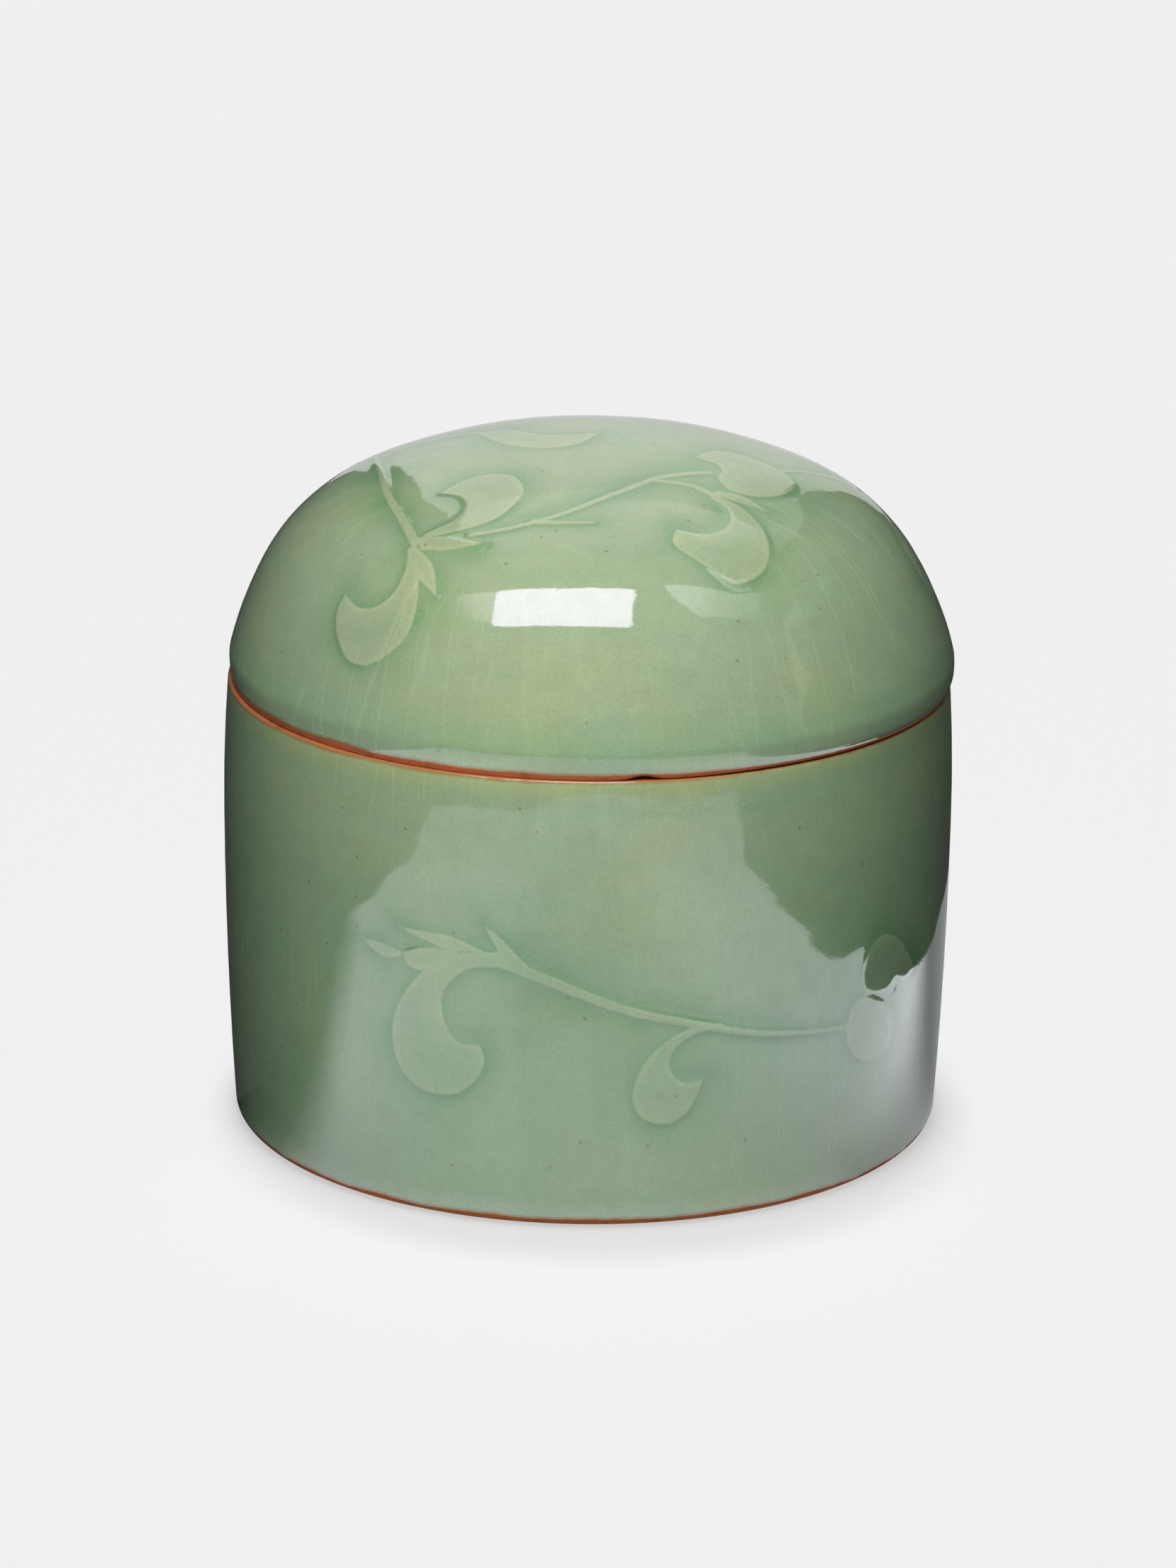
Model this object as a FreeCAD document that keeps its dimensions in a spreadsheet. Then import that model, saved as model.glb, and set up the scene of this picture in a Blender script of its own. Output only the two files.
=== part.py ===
import FreeCAD, Part

import math
import os

import Sketcher

# A lidded rice bowl of glazed stoneware, thrown and turned: the bowl, and a domed lid that rests loose on the
# bowl's rim and is centred by a collar inside the mouth. Millimetres, +Z up, and the origin is the centre of the
# plane that the foot ring stands on.

# name, size in mm, meaning. The bowl's heights are above its foot plane, and the lid's are above its own rim.
DIMENSIONS = (
    ("bowl_height", 68.85, "foot plane to the flat rim"),
    ("foot_radius", 54.0, "outside of the bowl at the foot plane, before its heel is rounded"),
    ("belly_radius", 55.5, "widest radius of the bowl"),
    ("belly_height", 49.0, "height of the widest radius"),
    ("rim_radius", 54.75, "outside of the bowl at the rim, before it is rounded"),
    ("heel_rounding", 1.6, "rounding between the wall and the foot ring"),
    ("rim_outer_rounding", 0.5, "rounding outside the flat rim"),
    ("rim_inner_rounding", 0.8, "rounding inside the flat rim"),
    ("mouth_radius", 51.0, "inside of the bowl at the rim"),
    ("wall_foot_radius", 50.0, "inside of the bowl where the wall would meet the floor"),
    ("floor_height", 6.5, "inside floor above the foot plane"),
    ("floor_corner", 16.0, "radius of the sweep from the floor into the wall"),
    ("inside_cut_top", 72.0, "top of the cut that hollows the bowl, above the rim"),
    ("recess_radius", 46.5, "inside of the foot ring"),
    ("recess_depth", 2.2, "depth of the recess inside the foot ring"),
    ("recess_cut_bottom", 3.0, "how far the recess cut starts below the foot plane"),
    ("recess_rounding", 1.0, "rounding at both edges of the recess's wall"),
    ("lid_height", 37.3, "lid's rim to the top of its dome"),
    ("lid_rim_radius", 54.5, "outside of the lid at its rim, before it is rounded"),
    ("lid_belly_radius", 54.8, "widest radius of the lid"),
    ("lid_belly_height", 3.3, "height of the widest radius"),
    ("lid_roll_arc", 5.14, "radius of the roll from the widest radius in to the side"),
    ("lid_side_start", 4.6, "height where the roll runs into the side"),
    ("lid_side_arc", 58.0, "radius of the side's curve"),
    ("lid_shoulder_start", 17.0, "height where the side runs into the shoulder"),
    ("lid_shoulder_arc", 28.7, "radius of the shoulder's curve"),
    ("lid_rim_rounding", 0.3, "rounding outside the lid's rim"),
    ("lid_inside_height", 32.8, "lid's rim to the top of its inside"),
    ("lid_inside_shoulder_arc", 24.0, "radius of the inside shoulder's curve"),
    ("lid_inside_shoulder_start", 5.5, "height where the collar's bore runs into the inside shoulder"),
    ("collar_radius", 50.2, "outside of the locating collar, with room to drop into the mouth"),
    ("collar_bore", 47.2, "inside of the locating collar"),
    ("collar_depth", 5.0, "how far the collar hangs below the lid's rim"),
    ("collar_cut_bottom", 7.0, "how far the lid's inside cut starts below its rim"),
    ("collar_rounding", 1.0, "rounding at both lower edges of the collar"),
    ("lid_shift", 0.3, "how far the lid sits off centre within the collar's clearance, along +X"),
)
SIZE = {name: value for name, value, meaning in DIMENSIONS}
SHEET = "Dimensions"

ORIGIN_POINT = (-1, 1)
VERTICAL_AXIS = -2
START = 1
END = 2
CENTRE = 3
SAME = 1e-4


def make_sheet(document):
    """The spreadsheet of driving dimensions, one row each: name, value, meaning."""
    sheet = document.addObject("Spreadsheet::Sheet", SHEET)
    for row, (name, value, meaning) in enumerate(DIMENSIONS, start=1):
        sheet.set("A%d" % row, name)
        sheet.set("B%d" % row, str(value))
        sheet.set("C%d" % row, meaning)
        sheet.setAlias("B%d" % row, name)
    document.recompute()
    return sheet


def cell(name):
    """The expression that reads one dimension."""
    return "<<%s>>.%s" % (SHEET, name)


def make_body(document, name):
    body = document.addObject("PartDesign::Body", name)
    body.Label = name
    return body


def section_sketch(body, name):
    """An empty sketch on the body's own XZ plane: sketch x is the radius and sketch y is the height."""
    sketch = body.newObject("Sketcher::SketchObject", name)
    plane = next(item for item in body.Origin.OriginFeatures if item.Role == "XZ_Plane")
    sketch.AttachmentSupport = (plane, [""])
    sketch.MapMode = "FlatFace"
    return sketch


def drive(sketch, kind, *arguments, name, sign=1):
    """Adds a dimension to a sketch and binds it to the sheet."""
    index = sketch.addConstraint(Sketcher.Constraint(kind, *arguments, sign * SIZE[name]))
    sketch.setExpression("Constraints[%d]" % index, "%s%s" % ("-" if sign < 0 else "", cell(name)))


def place_point(sketch, edge, end, radius_name, height_name, below=False):
    """Fixes a point's radius and height; None puts it on the axis or on the base line."""
    sign = -1 if below else 1
    if radius_name is None:
        sketch.addConstraint(Sketcher.Constraint("PointOnObject", edge, end, VERTICAL_AXIS))
    else:
        drive(sketch, "DistanceX", *ORIGIN_POINT, edge, end, name=radius_name)
    if height_name is None:
        sketch.addConstraint(Sketcher.Constraint("PointOnObject", edge, end, -1))
    else:
        drive(sketch, "DistanceY", *ORIGIN_POINT, edge, end, name=height_name, sign=sign)


def add_line(sketch, start, end):
    return sketch.addGeometry(Part.LineSegment(FreeCAD.Vector(*start, 0), FreeCAD.Vector(*end, 0)))


def add_arc(sketch, centre, radius, low, high):
    """An arc about a centre, anticlockwise from the angle low to the angle high, in radians."""
    circle = Part.Circle(FreeCAD.Vector(*centre, 0), FreeCAD.Vector(0, 0, 1), radius)
    return sketch.addGeometry(Part.ArcOfCircle(circle, low, high))


def join(sketch, *edges, smooth=()):
    """Joins each edge's end to the next edge's start, and the last to the first. An edge listed in smooth runs
    on into the next one tangentially."""
    for edge, following in zip(edges, edges[1:] + edges[:1]):
        kind = "Tangent" if edge in smooth else "Coincident"
        sketch.addConstraint(Sketcher.Constraint(kind, edge, END, following, START))


def level_arc(sketch, low_point, high_point, centre_height):
    """An arc from a lower to a higher point whose centre is at a given height, on the axis's side."""
    low_rise = low_point[1] - centre_height
    high_rise = high_point[1] - centre_height
    spread = low_point[0] ** 2 - high_point[0] ** 2 + low_rise ** 2 - high_rise ** 2
    centre_radius = spread / (2 * (low_point[0] - high_point[0]))
    radius = math.hypot(low_point[0] - centre_radius, low_rise)
    low_angle = math.asin(low_rise / radius)
    high_angle = math.asin(high_rise / radius)
    return add_arc(sketch, (centre_radius, centre_height), radius, low_angle, high_angle)


def turned(body, name, sketch, kind="PartDesign::Revolution"):
    """A full turn of a section about the body's vertical axis."""
    feature = body.newObject(kind, name)
    feature.Profile = sketch
    feature.ReferenceAxis = (sketch, ["V_Axis"])
    feature.Angle = 360.0
    body.Document.recompute()
    return feature


def ring_edge(feature, radius, height):
    """The name of the circular edge of a given radius at a given height."""
    for number, edge in enumerate(feature.Shape.Edges, start=1):
        if edge.Degenerated or not isinstance(edge.Curve, Part.Circle):
            continue
        if abs(edge.Curve.Radius - radius) < SAME and abs(edge.Curve.Center.z - height) < SAME:
            return "Edge%d" % number
    raise RuntimeError("no edge of radius %.2f at height %.2f" % (radius, height))


def rounded(body, name, radius_name, *rings):
    """Rounds the circular edges given as (radius, height) pairs."""
    base = body.Tip
    feature = body.newObject("PartDesign::Fillet", name)
    feature.Base = (base, [ring_edge(base, *ring) for ring in rings])
    feature.setExpression("Radius", cell(radius_name))
    body.Document.recompute()
    return feature


def rectangle(body, name, radius_name, low_name, high_name, low_below=False):
    """A section from the axis out to a radius, between two heights; None is the base plane."""
    sketch = section_sketch(body, name)
    radius = SIZE[radius_name]
    low = (-SIZE[low_name] if low_below else SIZE[low_name]) if low_name else 0
    high = SIZE[high_name] if high_name else 0
    corners = [(0, low), (radius, low), (radius, high), (0, high)]
    edges = [add_line(sketch, a, b) for a, b in zip(corners, corners[1:] + corners[:1])]
    join(sketch, *edges)
    place_point(sketch, edges[0], START, None, low_name, below=low_below)
    place_point(sketch, edges[0], END, radius_name, low_name, below=low_below)
    place_point(sketch, edges[2], START, radius_name, high_name)
    place_point(sketch, edges[2], END, None, high_name)
    return sketch


def bowl_outline(body):
    """The bowl's outside: one slow curve up to the belly and a quicker one in to the rim."""
    sketch = section_sketch(body, "bowl_outline")
    foot = (SIZE["foot_radius"], 0)
    belly = (SIZE["belly_radius"], SIZE["belly_height"])
    rim = (SIZE["rim_radius"], SIZE["bowl_height"])
    base = add_line(sketch, (0, 0), foot)
    lower = level_arc(sketch, foot, belly, SIZE["belly_height"])
    upper = level_arc(sketch, belly, rim, SIZE["belly_height"])
    top = add_line(sketch, rim, (0, rim[1]))
    axis = add_line(sketch, (0, rim[1]), (0, 0))
    join(sketch, base, lower, upper, top, axis)
    sketch.addConstraint(Sketcher.Constraint("Coincident", base, START, *ORIGIN_POINT))
    place_point(sketch, base, END, "foot_radius", None)
    place_point(sketch, lower, END, "belly_radius", "belly_height")
    place_point(sketch, upper, END, "rim_radius", "bowl_height")
    place_point(sketch, top, END, None, "bowl_height")
    drive(sketch, "DistanceY", *ORIGIN_POINT, lower, CENTRE, name="belly_height")
    drive(sketch, "DistanceY", *ORIGIN_POINT, upper, CENTRE, name="belly_height")
    return sketch


def bowl_inside(body):
    """The hollow of the bowl: a flat floor and a wall that opens slightly towards the mouth."""
    sketch = section_sketch(body, "bowl_inside")
    slope = (SIZE["mouth_radius"] - SIZE["wall_foot_radius"]) / (SIZE["bowl_height"] - SIZE["floor_height"])
    open_radius = SIZE["mouth_radius"] + slope * (SIZE["inside_cut_top"] - SIZE["bowl_height"])
    corners = [
        (0, SIZE["floor_height"]),
        (SIZE["wall_foot_radius"], SIZE["floor_height"]),
        (SIZE["mouth_radius"], SIZE["bowl_height"]),
        (open_radius, SIZE["inside_cut_top"]),
        (0, SIZE["inside_cut_top"]),
    ]
    edges = [add_line(sketch, a, b) for a, b in zip(corners, corners[1:] + corners[:1])]
    floor, wall, above, lid, axis = edges
    join(sketch, *edges)
    place_point(sketch, floor, START, None, "floor_height")
    place_point(sketch, floor, END, "wall_foot_radius", "floor_height")
    place_point(sketch, wall, END, "mouth_radius", "bowl_height")
    sketch.addConstraint(Sketcher.Constraint("Parallel", wall, above))
    place_point(sketch, lid, END, None, "inside_cut_top")
    sketch.addConstraint(Sketcher.Constraint("Horizontal", lid))
    return sketch


def make_bowl(document):
    """The bowl: turned outside, hollowed, with a foot ring, and every lip rounded."""
    body = make_body(document, "bowl")
    turned(body, "bowl_outside", bowl_outline(body))
    turned(body, "bowl_hollow", bowl_inside(body), "PartDesign::Groove")
    recess = rectangle(body, "foot_recess", "recess_radius", "recess_cut_bottom", "recess_depth", low_below=True)
    turned(body, "foot_hollow", recess, "PartDesign::Groove")
    rounded(body, "floor_sweep", "floor_corner", (SIZE["wall_foot_radius"], SIZE["floor_height"]))
    rounded(body, "heel", "heel_rounding", (SIZE["foot_radius"], 0))
    foot_edges = ((SIZE["recess_radius"], 0), (SIZE["recess_radius"], SIZE["recess_depth"]))
    rounded(body, "foot_ring_edges", "recess_rounding", *foot_edges)
    rounded(body, "rim_outside", "rim_outer_rounding", (SIZE["rim_radius"], SIZE["bowl_height"]))
    rounded(body, "rim_inside", "rim_inner_rounding", (SIZE["mouth_radius"], SIZE["bowl_height"]))
    return body


def crown(centre, radius, top):
    """The arc that closes a dome: it leaves an arc tangentially and is level at the top, on the axis.

    Returns its centre, its radius and the angle, from the horizontal, where it starts."""
    tangent = (top - radius - centre[1]) / centre[0]
    angle = math.pi / 2 - 2 * math.atan(tangent)
    crown_radius = radius + centre[0] / math.cos(angle)
    return (0, top - crown_radius), crown_radius, angle


def along(centre, distance, angle):
    """The point at a distance from a centre, in the direction of an angle."""
    return (centre[0] + distance * math.cos(angle), centre[1] + distance * math.sin(angle))


def lid_outline(body):
    """The lid's outside: a lip, a quick roll in, a nearly straight side, a round shoulder and a shallow crown."""
    sketch = section_sketch(body, "lid_outline")
    rim = (SIZE["lid_rim_radius"], 0)
    belly = (SIZE["lid_belly_radius"], SIZE["lid_belly_height"])
    roll_centre = (belly[0] - SIZE["lid_roll_arc"], belly[1])
    roll_high = math.asin((SIZE["lid_side_start"] - belly[1]) / SIZE["lid_roll_arc"])
    side_centre = along(roll_centre, SIZE["lid_roll_arc"] - SIZE["lid_side_arc"], roll_high)
    side_high = math.asin((SIZE["lid_shoulder_start"] - side_centre[1]) / SIZE["lid_side_arc"])
    shoulder_centre = along(side_centre, SIZE["lid_side_arc"] - SIZE["lid_shoulder_arc"], side_high)
    crown_centre, crown_arc, shoulder_high = crown(shoulder_centre, SIZE["lid_shoulder_arc"], SIZE["lid_height"])

    base = add_line(sketch, (0, 0), rim)
    lip = level_arc(sketch, rim, belly, belly[1])
    roll = add_arc(sketch, roll_centre, SIZE["lid_roll_arc"], 0, roll_high)
    side = add_arc(sketch, side_centre, SIZE["lid_side_arc"], roll_high, side_high)
    shoulder = add_arc(sketch, shoulder_centre, SIZE["lid_shoulder_arc"], side_high, shoulder_high)
    top = add_arc(sketch, crown_centre, crown_arc, shoulder_high, math.pi / 2)
    axis = add_line(sketch, (0, SIZE["lid_height"]), (0, 0))
    join(sketch, base, lip, roll, side, shoulder, top, axis, smooth=(lip, roll, side, shoulder))
    sketch.addConstraint(Sketcher.Constraint("Coincident", base, START, *ORIGIN_POINT))
    place_point(sketch, base, END, "lid_rim_radius", None)
    place_point(sketch, lip, END, "lid_belly_radius", "lid_belly_height")
    drive(sketch, "DistanceY", *ORIGIN_POINT, lip, CENTRE, name="lid_belly_height")
    drive(sketch, "Radius", roll, name="lid_roll_arc")
    drive(sketch, "DistanceY", *ORIGIN_POINT, roll, END, name="lid_side_start")
    drive(sketch, "Radius", side, name="lid_side_arc")
    drive(sketch, "DistanceY", *ORIGIN_POINT, side, END, name="lid_shoulder_start")
    drive(sketch, "Radius", shoulder, name="lid_shoulder_arc")
    sketch.addConstraint(Sketcher.Constraint("PointOnObject", top, CENTRE, VERTICAL_AXIS))
    place_point(sketch, top, END, None, "lid_height")
    return sketch


def lid_inside(body):
    """The hollow of the lid: the collar's straight bore, a round shoulder and a shallow crown."""
    sketch = section_sketch(body, "lid_inside")
    bore = SIZE["collar_bore"]
    bottom = -SIZE["collar_cut_bottom"]
    wall_top = SIZE["lid_inside_shoulder_start"]
    shoulder_arc = SIZE["lid_inside_shoulder_arc"]
    shoulder_centre = (bore - shoulder_arc, wall_top)
    crown_centre, crown_arc, shoulder_high = crown(shoulder_centre, shoulder_arc, SIZE["lid_inside_height"])

    floor = add_line(sketch, (0, bottom), (bore, bottom))
    wall = add_line(sketch, (bore, bottom), (bore, wall_top))
    shoulder = add_arc(sketch, shoulder_centre, shoulder_arc, 0, shoulder_high)
    top = add_arc(sketch, crown_centre, crown_arc, shoulder_high, math.pi / 2)
    axis = add_line(sketch, (0, SIZE["lid_inside_height"]), (0, bottom))
    join(sketch, floor, wall, shoulder, top, axis, smooth=(wall, shoulder))
    place_point(sketch, floor, START, None, "collar_cut_bottom", below=True)
    place_point(sketch, floor, END, "collar_bore", "collar_cut_bottom", below=True)
    sketch.addConstraint(Sketcher.Constraint("Vertical", wall))
    drive(sketch, "DistanceY", *ORIGIN_POINT, wall, END, name="lid_inside_shoulder_start")
    drive(sketch, "Radius", shoulder, name="lid_inside_shoulder_arc")
    sketch.addConstraint(Sketcher.Constraint("PointOnObject", top, CENTRE, VERTICAL_AXIS))
    place_point(sketch, top, END, None, "lid_inside_height")
    return sketch


def make_lid(document):
    """The lid: a turned dome with a collar under it, hollowed, resting on the bowl's flat rim."""
    body = make_body(document, "lid")
    turned(body, "lid_outside", lid_outline(body))
    collar = rectangle(body, "lid_collar", "collar_radius", "collar_depth", "lid_belly_height", low_below=True)
    turned(body, "collar", collar)
    turned(body, "lid_hollow", lid_inside(body), "PartDesign::Groove")
    collar_bottom = -SIZE["collar_depth"]
    collar_edges = ((SIZE["collar_radius"], collar_bottom), (SIZE["collar_bore"], collar_bottom))
    rounded(body, "collar_edges", "collar_rounding", *collar_edges)
    rounded(body, "lid_rim_edge", "lid_rim_rounding", (SIZE["lid_rim_radius"], 0))
    body.setExpression(".Placement.Base.x", cell("lid_shift"))
    body.setExpression(".Placement.Base.z", cell("bowl_height"))
    document.recompute()
    return body


def check(document, bodies):
    """Stops on a failed object, a loose sketch, a cut that cuts nothing or a shape that isn't one valid solid."""
    for item in document.Objects:
        if "Invalid" in item.State or "Error" in item.State:
            raise RuntimeError("%s failed: %s" % (item.Name, item.State))
        if item.isDerivedFrom("Sketcher::SketchObject") and (item.solve() != 0 or not item.FullyConstrained):
            raise RuntimeError("%s can't be solved, or is loose" % item.Name)
        if item.isDerivedFrom("PartDesign::Groove") and item.Shape.Volume >= item.BaseFeature.Shape.Volume:
            raise RuntimeError("%s cuts nothing" % item.Name)
    for body in bodies:
        shape = body.Shape
        if shape.isNull() or not shape.isValid() or len(shape.Solids) != 1:
            raise RuntimeError("%s isn't one valid solid" % body.Label)


def export(bodies):
    """Writes each sub-part to parts/, named by its label."""
    os.makedirs("parts", exist_ok=True)
    for body in bodies:
        body.Shape.exportStep("parts/%s.step" % body.Label)
        box = body.Shape.BoundBox
        volume = body.Shape.Volume / 1000
        print("%s: %.1f cm3, z %.2f to %.2f, x %.2f to %.2f" % (
            body.Label, volume, box.ZMin, box.ZMax, box.XMin, box.XMax))


def main():
    document = FreeCAD.newDocument("rice_bowl")
    make_sheet(document)
    bodies = [make_bowl(document), make_lid(document)]
    document.recompute()
    check(document, bodies)
    export(bodies)


main()
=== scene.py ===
import math

import bpy
import numpy as np
from mathutils import Matrix, Vector


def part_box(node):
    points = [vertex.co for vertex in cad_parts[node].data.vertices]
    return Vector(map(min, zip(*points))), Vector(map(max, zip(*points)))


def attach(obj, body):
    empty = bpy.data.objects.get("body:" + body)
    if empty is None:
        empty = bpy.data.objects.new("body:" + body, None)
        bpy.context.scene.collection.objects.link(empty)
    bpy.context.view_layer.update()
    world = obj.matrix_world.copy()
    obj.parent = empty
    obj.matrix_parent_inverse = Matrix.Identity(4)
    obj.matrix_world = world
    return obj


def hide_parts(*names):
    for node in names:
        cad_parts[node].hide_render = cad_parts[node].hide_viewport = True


# The looks of a lidded rice bowl in carved celadon: two pieces, bowl and lid, each a turned surface whose
# carved sprigs, rims and foot are geometry. Sizes of the pieces are millimetres in the CAD frame, and meshes
# are made in metres.

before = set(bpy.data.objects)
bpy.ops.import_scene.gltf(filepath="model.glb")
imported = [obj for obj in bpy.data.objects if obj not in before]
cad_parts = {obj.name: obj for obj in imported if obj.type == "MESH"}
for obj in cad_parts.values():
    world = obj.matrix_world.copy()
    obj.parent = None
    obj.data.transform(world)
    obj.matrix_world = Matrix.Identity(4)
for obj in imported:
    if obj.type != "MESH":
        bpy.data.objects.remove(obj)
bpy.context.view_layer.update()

MM = 0.001

# --- Turned outlines ------------------------------------------------------------------------------------

BOWL_LOW, BOWL_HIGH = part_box("bowl")
LID_LOW, LID_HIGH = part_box("lid")
BOWL_HEIGHT = BOWL_HIGH.z / MM
LID_TOP = LID_HIGH.z / MM - BOWL_HEIGHT
LID_SHIFT = (LID_LOW.x + LID_HIGH.x) / 2 / MM

FOOT_RADIUS = 54.0
BELLY_RADIUS = 55.5
BELLY_HEIGHT = 49.0
RIM_RADIUS = 54.75
HEEL_ROUNDING = 1.6
RIM_OUTER_ROUNDING = 0.5
RIM_INNER_ROUNDING = 0.8
MOUTH_RADIUS = 51.0
WALL_FOOT_RADIUS = 50.0
FLOOR_HEIGHT = 6.5
FLOOR_CORNER = 16.0
RECESS_RADIUS = 46.5
RECESS_DEPTH = 2.2
RECESS_ROUNDING = 1.0

LID_RIM_RADIUS = 54.5
LID_BELLY_RADIUS = 54.8
LID_BELLY_HEIGHT = 3.3
LID_ROLL_ARC = 5.14
LID_SIDE_START = 4.6
LID_SIDE_ARC = 58.0
LID_SHOULDER_START = 17.0
LID_SHOULDER_ARC = 28.7
LID_RIM_ROUNDING = 0.3
LID_INSIDE_TOP = 32.8
LID_INSIDE_ARC = 24.0
LID_INSIDE_START = 5.5
COLLAR_RADIUS = 50.2
COLLAR_BORE = 47.2
COLLAR_DEPTH = 5.0
COLLAR_ROUNDING = 1.0

# Sizes of the mesh's cells: on carved walls, on plain ones, on flats and roundings, and on the glaze's edges.
FINEST = 0.4
PLAIN = 1.2
FLAT_CELL = 0.6
SMALL_CELL = 0.3
COLLAR_CELL = 0.2
ROUNDING_CELL = 0.12
FEWEST_COLUMNS = 7

QUARTER = math.pi / 2
TURN = 2 * math.pi


def line(start, end, cell):
    """Points along a straight stretch, without its last one."""
    count = max(1, round(math.dist(start, end) / cell))
    steps = np.arange(count)[:, None] / count
    return np.array(start) * (1 - steps) + np.array(end) * steps


def arc(centre, radius, low, high, cell):
    """Points along an arc from the angle low to the angle high, without its last one."""
    count = max(2, round(abs(high - low) * radius / cell))
    angles = low + (high - low) * np.arange(count) / count
    return np.stack([centre[0] + radius * np.cos(angles), centre[1] + radius * np.sin(angles)], 1)


def level_arc(low_point, high_point, centre_height):
    """Centre, radius and angles of the arc between two points whose centre is at a given height."""
    low_rise = low_point[1] - centre_height
    high_rise = high_point[1] - centre_height
    spread = low_point[0] ** 2 - high_point[0] ** 2 + low_rise ** 2 - high_rise ** 2
    centre = (spread / (2 * (low_point[0] - high_point[0])), centre_height)
    radius = math.hypot(low_point[0] - centre[0], low_rise)
    return centre, radius, math.asin(low_rise / radius), math.asin(high_rise / radius)


def along(centre, distance, angle):
    return (centre[0] + distance * math.cos(angle), centre[1] + distance * math.sin(angle))


def crown(centre, radius, top):
    """The arc that closes a dome: tangent to the arc before it, and level at the top on the axis."""
    tangent = (top - radius - centre[1]) / centre[0]
    angle = QUARTER - 2 * math.atan(tangent)
    crown_radius = radius + centre[0] / math.cos(angle)
    return (0, top - crown_radius), crown_radius, angle


class Outline:
    """The points of a turned section in order, each with the zone of the surface that it belongs to."""

    def __init__(self):
        self.points = []
        self.zones = []

    def add(self, points, zone):
        self.points.append(points)
        self.zones += [zone] * len(points)

    def finish(self, end, zone):
        self.add(np.array([end], float), zone)
        return np.concatenate(self.points), np.array(self.zones)


def bowl_section():
    """From the recess's middle, out and up the outside, over the rim and down to the inside floor."""
    outline = Outline()
    recess_in = RECESS_RADIUS - RECESS_ROUNDING
    recess_corner = (recess_in, RECESS_DEPTH - RECESS_ROUNDING)
    ring_in = (RECESS_RADIUS + RECESS_ROUNDING, RECESS_ROUNDING)
    outline.add(line((0, RECESS_DEPTH), (recess_in, RECESS_DEPTH), PLAIN), "under")
    outline.add(arc(recess_corner, RECESS_ROUNDING, QUARTER, 0, SMALL_CELL), "under")
    outline.add(arc(ring_in, RECESS_ROUNDING, 2 * QUARTER, 3 * QUARTER, SMALL_CELL), "foot")

    foot, belly, rim = (FOOT_RADIUS, 0), (BELLY_RADIUS, BELLY_HEIGHT), (RIM_RADIUS, BOWL_HEIGHT)
    centre, radius, low, high = level_arc(foot, belly, BELLY_HEIGHT)
    heel_height = HEEL_ROUNDING * (1 + math.sin(low))
    heel_high = math.asin((heel_height - BELLY_HEIGHT) / radius)
    heel_reach = radius - HEEL_ROUNDING
    heel_centre = along(centre, heel_reach, math.asin((HEEL_ROUNDING - BELLY_HEIGHT) / heel_reach))
    outline.add(line((ring_in[0], 0), (heel_centre[0], 0), FLAT_CELL), "foot")
    outline.add(arc(heel_centre, HEEL_ROUNDING, -QUARTER, heel_high, ROUNDING_CELL * 1.5), "foot")
    outline.add(arc(centre, radius, heel_high, high, FINEST), "wall")

    centre, radius, low, high = level_arc(belly, rim, BELLY_HEIGHT)
    lip_reach = radius - RIM_OUTER_ROUNDING
    lip_low = math.asin((BOWL_HEIGHT - RIM_OUTER_ROUNDING - BELLY_HEIGHT) / lip_reach)
    lip_centre = along(centre, lip_reach, lip_low)
    outline.add(arc(centre, radius, 0, lip_low, FINEST), "wall")
    outline.add(arc(lip_centre, RIM_OUTER_ROUNDING, lip_low, QUARTER, ROUNDING_CELL), "rim")

    mouth_centre = (MOUTH_RADIUS + RIM_INNER_ROUNDING, BOWL_HEIGHT - RIM_INNER_ROUNDING)
    corner = (WALL_FOOT_RADIUS - FLOOR_CORNER, FLOOR_HEIGHT + FLOOR_CORNER)
    outline.add(line((lip_centre[0], BOWL_HEIGHT), (mouth_centre[0], BOWL_HEIGHT), SMALL_CELL), "rim")
    outline.add(arc(mouth_centre, RIM_INNER_ROUNDING, QUARTER, 2 * QUARTER, ROUNDING_CELL), "rim")
    outline.add(line((MOUTH_RADIUS, mouth_centre[1]), (WALL_FOOT_RADIUS, corner[1]), PLAIN), "inside")
    outline.add(arc(corner, FLOOR_CORNER, 0, -QUARTER, PLAIN), "inside")
    outline.add(line((corner[0], FLOOR_HEIGHT), (0, FLOOR_HEIGHT), PLAIN), "inside")
    return outline.finish((0, FLOOR_HEIGHT), "inside")


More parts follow.
